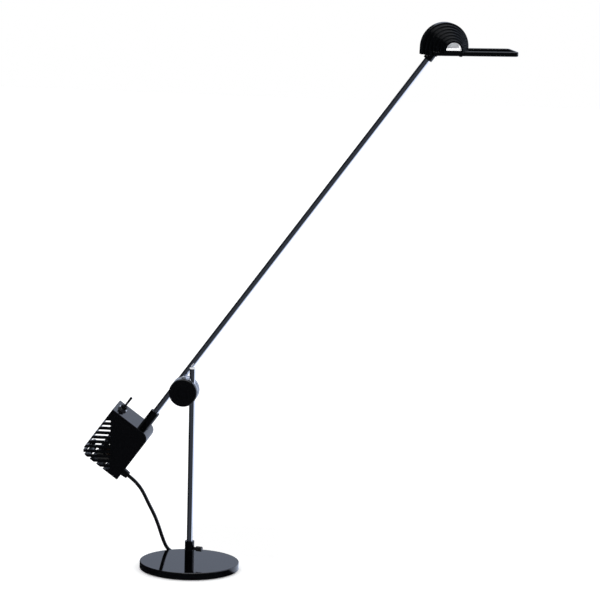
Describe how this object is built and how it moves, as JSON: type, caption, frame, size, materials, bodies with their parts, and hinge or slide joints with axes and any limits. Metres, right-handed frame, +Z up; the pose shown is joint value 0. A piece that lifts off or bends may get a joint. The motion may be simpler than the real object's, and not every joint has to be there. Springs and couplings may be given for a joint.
{
  "type": "counterweight balance desk lamp",
  "caption": "Desk lamp: a tube arm pivots on a stem over a round base, balanced by a vented transformer box, with a ribbed swivelling hood and a loop handle at its far end",
  "frame": {"origin": "centre of the base's underside, on the stem's axis", "axes": "+Z up along the stem; +X toward the lamp head; +Y away from the viewer"},
  "size_m": [0.7068, 0.3103, 0.9425],
  "materials": {
    "black_gloss_disc": "gloss",
    "pad": "matte",
    "black_gloss": "gloss",
    "zinc": "satin",
    "thumb_black": "satin",
    "chrome_stem": "polished",
    "cap_grey": "gloss",
    "hub_grey": "satin",
    "washer_fibre": "matte",
    "cord": "satin",
    "plug": "satin",
    "pins": "polished",
    "knob_black": "satin",
    "brass": "satin",
    "knob_cap": "gloss",
    "chrome_arm": "polished",
    "lead": "matte",
    "chrome_collar": "gloss",
    "box_black": "satin",
    "screw_black": "satin",
    "laminations": "matte",
    "bobbin": "matte",
    "winding": "satin",
    "terminal": "satin",
    "switch_body": "satin",
    "chrome_nut": "polished",
    "gland": "gloss",
    "lever": "gloss",
    "knuckle": "satin",
    "hood": "gloss",
    "handle": "satin",
    "bridge_steel": "satin",
    "reflector": "polished",
    "lamp_ceramic": "matte",
    "bulb_glass": "clear"
  },
  "bodies": {
    "base": {"base_disc": "black_gloss_disc", "base_pad": "pad", "stem_socket": "black_gloss", "base_screw": "zinc"},
    "thumb_screw": {"thumb_screw": "thumb_black"},
    "post": {"stem": "chrome_stem", "stem_cap": "cap_grey", "stem_clamp": "hub_grey", "clamp_screw": "zinc", "friction_washer": "washer_fibre", "pivot_bolt": "zinc", "disc_springs": "zinc", "lock_nut": "zinc", "cord_run": "cord", "cord_coil": "cord", "plug_body": "plug", "plug_pins": "pins"},
    "knob": {"tension_knob": "knob_black", "knob_insert": "brass", "knob_cap": "knob_cap"},
    "arm": {"arm_clamp": "hub_grey", "pivot_cap": "knob_cap", "arm_tube": "chrome_arm", "arm_lead": "lead", "lower_collar": "chrome_collar", "collar_nut": "zinc", "upper_collar": "chrome_collar", "tilt_pin": "zinc", "box_shell": "box_black", "box_cover": "box_black", "cover_screws": "screw_black", "transformer_core": "laminations", "transformer_bobbin": "bobbin", "transformer_winding": "winding", "transformer_strap": "zinc", "strap_screws": "zinc", "terminal_block": "terminal", "switch_housing": "switch_body", "switch_nut": "chrome_nut", "cord_gland": "gland", "gland_nut": "gland", "cord_drop": "cord"},
    "switch_lever": {"switch_lever": "lever"},
    "knuckle": {"knuckle": "knuckle", "swivel_nut": "zinc"},
    "head": {"hood": "hood", "handle_frame": "handle", "lamp_bridge": "bridge_steel", "bridge_screws": "screw_black", "hood_screws": "screw_black", "reflector": "reflector", "lamp_holder": "lamp_ceramic", "bulb": "bulb_glass", "bulb_pins": "pins"}
  },
  "joints": [
    {"name": "thumb_screw_turn", "type": "hinge", "parent": "base", "child": "thumb_screw", "pos_m": [0, 0, 0.036], "axis": [0.9781, -0.2079, 0], "continuous": true},
    {"name": "stem_swivel", "type": "hinge", "parent": "base", "child": "post", "pos_m": [0, 0, 0.1], "axis": [0, 0, 1], "range_deg": [-170, 170]},
    {"name": "knob_turn", "type": "hinge", "parent": "post", "child": "knob", "pos_m": [-0.014, 0, 0.306], "axis": [0, -1, 0], "continuous": true},
    {"name": "arm_tilt", "type": "hinge", "parent": "post", "child": "arm", "pos_m": [-0.014, 0, 0.306], "axis": [0, -1, 0], "range_deg": [-48, 33]},
    {"name": "switch_toggle", "type": "hinge", "parent": "arm", "child": "switch_lever", "pos_m": [-0.11815, 0.0139, 0.27015], "axis": [-0.8111, 0, 0.585], "range_deg": [-24, 0]},
    {"name": "head_tilt", "type": "hinge", "parent": "arm", "child": "knuckle", "pos_m": [0.39501, 0.0139, 0.90182], "axis": [0, -1, 0], "range_deg": [-66, 2]},
    {"name": "head_swivel", "type": "hinge", "parent": "knuckle", "child": "head", "pos_m": [0.39501, 0.0139, 0.90182], "axis": [0.0314, 0, 0.9995], "range_deg": [-80, 32]}
  ]
}
